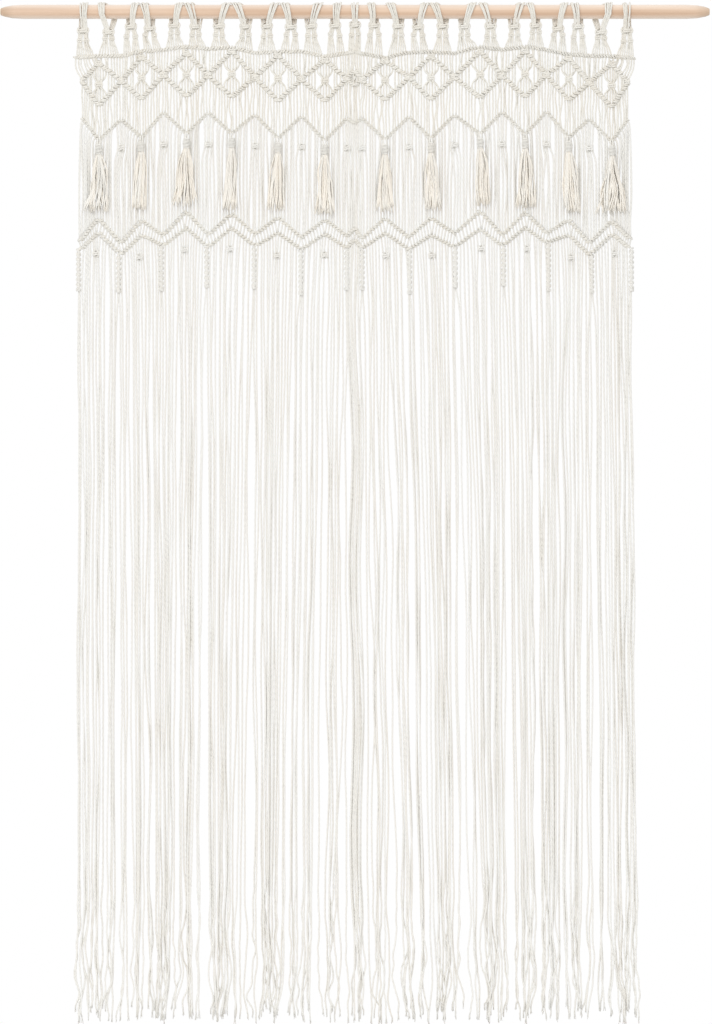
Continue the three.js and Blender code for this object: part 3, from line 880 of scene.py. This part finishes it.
def ranged(tree, value, from_min, from_max, to_min, to_max):
    """A value stretched from one range to another, and held at its ends."""
    ends = {"From_Min": from_min, "From_Max": from_max, "To_Min": to_min, "To_Max": to_max}
    return linked(tree, "ShaderNodeMapRange", Value=value, **ends).outputs[0]


def mixed(tree, factor, a, b, blend="MIX"):
    """A colour mixed from two, by the factor's share of the second."""
    mix = tree.nodes.new("ShaderNodeMix")
    mix.data_type = "RGBA"
    mix.blend_type = blend
    for socket, value in zip((mix.inputs[0], mix.inputs[6], mix.inputs[7]), (factor, a, b)):
        if isinstance(value, bpy.types.NodeSocket):
            tree.links.new(value, socket)
        else:
            socket.default_value = value
    return mix.outputs[2]


def fresh_finish(name):
    """A new finish with its nodes and its shader, still plain."""
    finish = bpy.data.materials.new(name)
    finish.use_nodes = True
    tree = finish.node_tree
    tree.nodes.clear()
    shader = tree.nodes.new("ShaderNodeBsdfPrincipled")
    result = tree.nodes.new("ShaderNodeOutputMaterial")
    tree.links.new(shader.outputs[0], result.inputs[0])
    return finish, tree, shader


def cotton(name, pale, warm, speckle_and_shade_colour):
    """Twisted cotton: plies that wind along the cord, fine fibres, a tone for each cord, and painted shade
    in the grooves between the plies.
    """
    finish, tree, shader = fresh_finish(name)
    wrap = tree.nodes.new("ShaderNodeUVMap")
    wrap.uv_map = "cord_length"
    parts = linked(tree, "ShaderNodeSeparateXYZ", Vector=wrap.outputs[0])
    around = reckoned(tree, "MULTIPLY", parts.outputs[0], CORD_PLIES * math.tau)
    along = reckoned(tree, "MULTIPLY", parts.outputs[1], math.tau)
    wind = reckoned(tree, "SINE", reckoned(tree, "ADD", around, along), 0.0)
    ply = reckoned(tree, "MULTIPLY", reckoned(tree, "ADD", wind, 1.0), 0.5)
    place = tree.nodes.new("ShaderNodeTexCoord").outputs["Object"]
    fibre = linked(tree, "ShaderNodeTexNoise", Vector=place, Scale=1500.0, Detail=3.0).outputs[0]
    patch = linked(tree, "ShaderNodeTexNoise", Vector=place, Scale=9.0, Detail=2.0).outputs[0]
    tone = tree.nodes.new("ShaderNodeAttribute")
    tone.attribute_name = "cord_tone"
    warmth = reckoned(tree, "MULTIPLY", tone.outputs["Fac"], 0.5)
    patches = reckoned(tree, "MULTIPLY", reckoned(tree, "SUBTRACT", patch, 0.5), 0.9)
    share = reckoned(tree, "ADD", reckoned(tree, "ADD", warmth, patches), 0.4)
    share.node.use_clamp = True
    colour = mixed(tree, share, pale, warm)
    speckle = reckoned(tree, "MULTIPLY", reckoned(tree, "SUBTRACT", fibre, 0.35), 0.3)
    # Painted shade: the colour is darkened in the grooves between the plies, together with the darker fibre
    # speckle.
    painted_ply_shade = reckoned(tree, "MULTIPLY", reckoned(tree, "SUBTRACT", 1.0, ply), 0.3)
    shade = reckoned(tree, "ADD", speckle, painted_ply_shade)
    shade.node.use_clamp = True
    colour = mixed(tree, shade, colour, speckle_and_shade_colour, "MULTIPLY")
    tree.links.new(colour, shader.inputs["Base Color"])
    tree.links.new(ranged(tree, fibre, 0.0, 1.0, 0.82, 0.98), shader.inputs["Roughness"])
    plies = linked(tree, "ShaderNodeBump", Strength=0.65, Distance=0.0007, Height=ply).outputs[0]
    fibres = linked(tree, "ShaderNodeBump", Strength=0.3, Distance=0.0002, Height=fibre, Normal=plies)
    tree.links.new(fibres.outputs[0], shader.inputs["Normal"])
    shader.inputs["Specular IOR Level"].default_value = 0.15
    shader.inputs["Sheen Weight"].default_value = 0.3
    shader.inputs["Sheen Roughness"].default_value = 0.5
    return finish


def rod_wood(name):
    """Pale planed wood: grain along the rod, a painted highlight above and painted reflected light below,
    and darker cut ends.
    """
    finish, tree, shader = fresh_finish(name)
    place = tree.nodes.new("ShaderNodeTexCoord").outputs["Object"]
    parts = linked(tree, "ShaderNodeSeparateXYZ", Vector=place)
    long_way = linked(tree, "ShaderNodeMapping", Vector=place, Scale=(1.6, 70.0, 70.0)).outputs[0]
    grain = linked(tree, "ShaderNodeTexNoise", Vector=long_way, Scale=1.0, Detail=4.0).outputs[0]
    fine_way = linked(tree, "ShaderNodeMapping", Vector=place, Scale=(9.0, 420.0, 420.0)).outputs[0]
    fine = linked(tree, "ShaderNodeTexNoise", Vector=fine_way, Scale=1.0, Detail=3.0).outputs[0]
    ramp = tree.nodes.new("ShaderNodeValToRGB")
    ramp.color_ramp.elements[0].position = 0.38
    ramp.color_ramp.elements[0].color = DARK_GRAIN
    ramp.color_ramp.elements[1].position = 0.62
    ramp.color_ramp.elements[1].color = PALE_GRAIN
    tree.links.new(grain, ramp.inputs[0])
    pores = reckoned(tree, "MULTIPLY", fine, 0.5)
    colour = mixed(tree, pores, ramp.outputs[0], WOOD_PORES)
    # Painted highlight on the top of the rod and painted reflected light on its bottom: the colour is made
    # paler by height.
    above = ranged(tree, parts.outputs[2], 0.002, 0.013, 0.0, 0.62)
    below = ranged(tree, parts.outputs[2], -0.006, -0.013, 0.0, 0.6)
    painted_highlight_share = reckoned(tree, "ADD", above, below)
    colour = mixed(tree, painted_highlight_share, colour, PAINTED_HIGHLIGHT)
    outwards = reckoned(tree, "ABSOLUTE", parts.outputs[0], 0.0)
    cut = ranged(tree, outwards, 0.668, 0.69, 0.0, 0.4)
    colour = mixed(tree, cut, colour, CUT_WOOD)
    tree.links.new(colour, shader.inputs["Base Color"])
    tree.links.new(ranged(tree, fine, 0.0, 1.0, 0.42, 0.62), shader.inputs["Roughness"])
    bump = linked(tree, "ShaderNodeBump", Strength=0.2, Distance=0.0003, Height=fine)
    tree.links.new(bump.outputs[0], shader.inputs["Normal"])
    shader.inputs["Specular IOR Level"].default_value = 0.35
    shader.inputs["Coat Weight"].default_value = 0.7
    shader.inputs["Coat Roughness"].default_value = 0.3
    return finish


def turn_rod(finish):
    """The rod: a round length of wood, its ends turned down in steps to a small flat tip."""
    bpy.ops.object.select_all(action="DESELECT")
    straight = (ROD_LENGTH - 2 * ROD_TAPER) * MM
    bpy.ops.mesh.primitive_cylinder_add(
        vertices=ROD_SIDES, radius=ROD_RADIUS * MM, depth=straight, rotation=(0, math.pi / 2, 0)
    )
    rod = bpy.context.object
    rod.name = "turned_rod"
    bpy.ops.object.transform_apply(location=False, rotation=True, scale=False)
    for side in (-1, 1):
        was, at = ROD_RADIUS, straight / 2
        for length, radius in ROD_END:
            bpy.ops.object.mode_set(mode="EDIT")
            bpy.ops.mesh.select_mode(type="FACE")
            bpy.ops.mesh.select_all(action="DESELECT")
            bpy.ops.object.mode_set(mode="OBJECT")
            for face in rod.data.polygons:
                face.select = face.normal.x * side > 0.99
            bpy.ops.object.mode_set(mode="EDIT")
            outwards = (side * length * MM, 0, 0)
            bpy.ops.mesh.extrude_region_move(TRANSFORM_OT_translate={"value": outwards})
            at += length * MM
            shrink = radius / was
            bpy.ops.transform.resize(value=(1, shrink, shrink), center_override=(side * at, 0, 0))
            was = radius
            bpy.ops.object.mode_set(mode="OBJECT")
    bpy.ops.object.shade_smooth_by_angle(angle=math.radians(40))
    rod.data.materials.clear()
    rod.data.materials.append(finish)
    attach(rod, "root")
    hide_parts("rod")


def set_camera():
    """A long lens straight in front, as in the photograph."""
    lens = bpy.data.cameras.new("photo_lens")
    lens.sensor_width = SENSOR
    lens.lens = LENS
    lens.clip_end = 100
    camera = bpy.data.objects.new("photo_camera", lens)
    camera.location = CAMERA_PLACE
    camera.rotation_euler = (math.pi / 2, 0, 0)
    bpy.context.scene.collection.objects.link(camera)
    bpy.context.scene.camera = camera


def light_room():
    """A white room that lights the curtain a little more from above than from below."""
    world = bpy.data.worlds.new("white_room")
    world.use_nodes = True
    tree = world.node_tree
    tree.nodes.clear()
    around = tree.nodes.new("ShaderNodeTexCoord").outputs["Generated"]
    up = linked(tree, "ShaderNodeSeparateXYZ", Vector=around).outputs[2]
    strength = ranged(tree, up, -1.0, 1.0, LIGHT_BELOW, LIGHT_ABOVE)
    room = linked(tree, "ShaderNodeBackground", Color=WHITE, Strength=strength)
    seen = linked(tree, "ShaderNodeBackground", Color=WHITE, Strength=1.0)
    ray = tree.nodes.new("ShaderNodeLightPath").outputs["Is Camera Ray"]
    both = linked(tree, "ShaderNodeMixShader", i0=ray, i1=room.outputs[0], i2=seen.outputs[0])
    linked(tree, "ShaderNodeOutputWorld", Surface=both.outputs[0])
    bpy.context.scene.world = world


def hang_soft_box():
    """A large soft lamp in front, above and to the left."""
    soft = bpy.data.lights.new("soft_box", "AREA")
    soft.shape = "RECTANGLE"
    soft.size = soft.size_y = SOFT_BOX_SIZE
    soft.energy = SOFT_BOX_POWER
    box = bpy.data.objects.new("soft_box", soft)
    box.location = SOFT_BOX_PLACE
    box.rotation_euler = SOFT_BOX_TURN
    bpy.context.scene.collection.objects.link(box)


def lay_floor():
    """A plain pale disc under the fringe and in front of it."""
    bpy.ops.object.select_all(action="DESELECT")
    bpy.ops.mesh.primitive_circle_add(
        vertices=96, radius=FLOOR_RADIUS, fill_type="NGON", location=FLOOR_PLACE
    )
    floor = bpy.context.object
    floor.name = "studio_floor"
    finish, tree, shader = fresh_finish("pale_floor")
    shader.inputs["Base Color"].default_value = FLOOR_COLOUR
    shader.inputs["Roughness"].default_value = 0.9
    floor.data.materials.append(finish)


white_cotton = cotton(
    "white_cotton",
    pale=(0.925, 0.916, 0.885, 1),
    warm=(0.885, 0.851, 0.793, 1),
    speckle_and_shade_colour=(0.81, 0.802, 0.775, 1),
)
# Cotton of the knotted pieces: the same cotton, a little darker and much darker in its grooves, as painted
# shade among the knots.
knotted_cotton_painted_shade = cotton(
    "knotted_cotton_painted_shade",
    pale=(0.925, 0.908, 0.858, 1),
    warm=(0.89, 0.845, 0.765, 1),
    speckle_and_shade_colour=(0.75, 0.737, 0.69, 1),
)
# Cotton of the tassels: warmer, which is its own colour, and also paler with barely darker grooves than the
# other cotton. The paleness is painted light that makes up for the shade between its strands.
tassel_cotton = cotton(
    "warm_cotton",
    pale=(0.965, 0.95, 0.91, 1),
    warm=(1.0, 0.945, 0.86, 1),
    speckle_and_shade_colour=(0.98, 0.95, 0.89, 1),
)
planed_wood = rod_wood("planed_wood")

bpy.context.scene.view_settings.view_transform = "Standard"
set_camera()
light_room()
hang_soft_box()
lay_floor()
turn_rod(planed_wood)

tabs = Cordage()
tie_tabs(tabs)
tabs.piece("rod_tabs", knotted_cotton_painted_shade, "cotton_cord", "net")

header = Cordage()
hitch_row(header, "head", 17, 1.04)
header.piece("header_row", knotted_cotton_painted_shade, "cotton_cord", "net")

diamonds = Cordage()
work_diamonds(diamonds)
diamonds.piece("diamond_sides", knotted_cotton_painted_shade, "cotton_cord", "net")

net = Cordage()
hang_net(net)
net.piece("diamond_cords", knotted_cotton_painted_shade, "cotton_cord", "net")

zigzag = Cordage()
hitch_row(zigzag, "zig", 0, 0.82)
zigzag.piece("zigzag_row", knotted_cotton_painted_shade, "cotton_cord", "net")

middle_cords = Cordage()
hang_between(middle_cords)
middle_cords.piece("middle_cords", white_cotton, "cotton_cord", "net")

double_row = Cordage()
hitch_row(double_row, "upper", 8)
hitch_row(double_row, "lower", 8)
double_row.piece("double_row", knotted_cotton_painted_shade, "cotton_cord", "fringe")

sinnets = Cordage()
twist_spirals(sinnets)
sinnets.piece("spiral_sinnets", white_cotton, "cotton_cord", "fringe")

fringe_left = Cordage()
hang_fringe(fringe_left, lambda x: x < 0)
fringe_left.piece("fringe_left", white_cotton, "cotton_cord", "fringe")

fringe_right = Cordage()
hang_fringe(fringe_right, lambda x: x >= 0)
fringe_right.piece("fringe_right", white_cotton, "cotton_cord", "fringe")

for number, row in enumerate(MIDDLES, 1):
    make_tassel(row, number)
